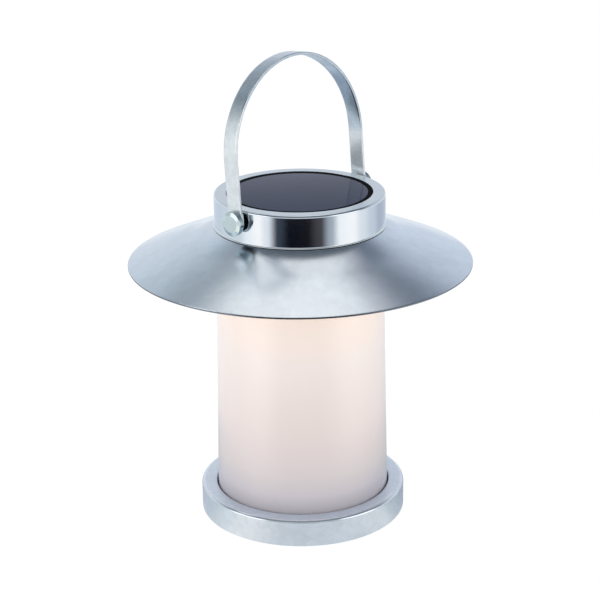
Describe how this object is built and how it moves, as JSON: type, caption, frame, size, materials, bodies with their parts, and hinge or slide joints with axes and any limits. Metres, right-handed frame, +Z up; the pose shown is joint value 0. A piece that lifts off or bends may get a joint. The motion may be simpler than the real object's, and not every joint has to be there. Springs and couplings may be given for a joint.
{
  "type": "solar lantern",
  "caption": "Solar table lantern in galvanised sheet steel: opal diffuser on a round base pan, wide brim, collar with a solar panel on top and a swinging strap handle.",
  "frame": {"origin": "middle of the base on the floor, at the underside of the rubber feet", "axes": "+Z up along the lantern's axis; X along the handle's pivot axis; -Y and -X are the sides nearest the camera"},
  "size_m": [0.235, 0.235, 0.3251],
  "materials": {
    "zinc_sheet": "hot-dip galvanised sheet steel, satin, faint spangle",
    "bright_zinc": "bright zinc-plated steel, near mirror",
    "opal_plastic": "moulded opal plastic, satin, lit from inside",
    "black_rubber": "moulded black rubber, matt",
    "black_plastic": "moulded black plastic, satin",
    "white_plastic": "moulded white plastic, satin",
    "solar_glass": "thin-film solar laminate, glossy dark blue",
    "hardware_steel": "zinc-plated fastener steel",
    "board_laminate": "green solder mask on glass-fibre laminate",
    "led_resin": "clear warm resin",
    "cell_sleeve": "green shrink sleeve on a metal can",
    "contact_nickel": "nickel-plated spring steel",
    "wire_red": "red wire insulation",
    "wire_black": "black wire insulation"
  },
  "bodies": {
    "base": {"base_pan": "zinc_sheet", "base_plate": "zinc_sheet", "base_screws": "hardware_steel", "base_feet": "black_rubber", "diffuser": "opal_plastic"},
    "head": {"brim": "zinc_sheet", "collar": "bright_zinc", "pivot_screws": "bright_zinc", "pivot_spacers": "black_rubber", "pivot_washers": "hardware_steel", "pivot_nuts": "hardware_steel", "pivot_brackets": "hardware_steel", "bracket_rivets": "hardware_steel", "solar_panel": "solar_glass", "panel_housing": "black_plastic", "panel_gasket": "black_rubber", "lamp_module": "white_plastic", "module_screws": "hardware_steel", "seal_ring": "black_rubber", "circuit_board": "board_laminate", "board_screws": "hardware_steel", "led": "led_resin", "switch_body": "black_plastic", "battery_cell": "cell_sleeve", "contact_spring": "contact_nickel", "contact_plate": "contact_nickel", "battery_door": "white_plastic", "door_screw": "hardware_steel", "panel_lead_red": "wire_red", "panel_lead_black": "wire_black", "battery_lead_red": "wire_red", "battery_lead_black": "wire_black"},
    "handle": {"handle_strap": "zinc_sheet"},
    "switch": {"switch_knob": "black_plastic"}
  },
  "joints": [
    {"name": "head_lift", "type": "slide", "parent": "base", "child": "head", "axis": [0, 0, 1], "range_m": [0, 0.06]},
    {"name": "handle_swing", "type": "hinge", "parent": "head", "child": "handle", "pos_m": [0, 0, 0.22322], "axis": [1, 0, 0], "range_deg": [-98.3, 107.7]},
    {"name": "switch_slide", "type": "slide", "parent": "head", "child": "switch", "axis": [1, 0, 0], "range_m": [0, 0.004]}
  ]
}
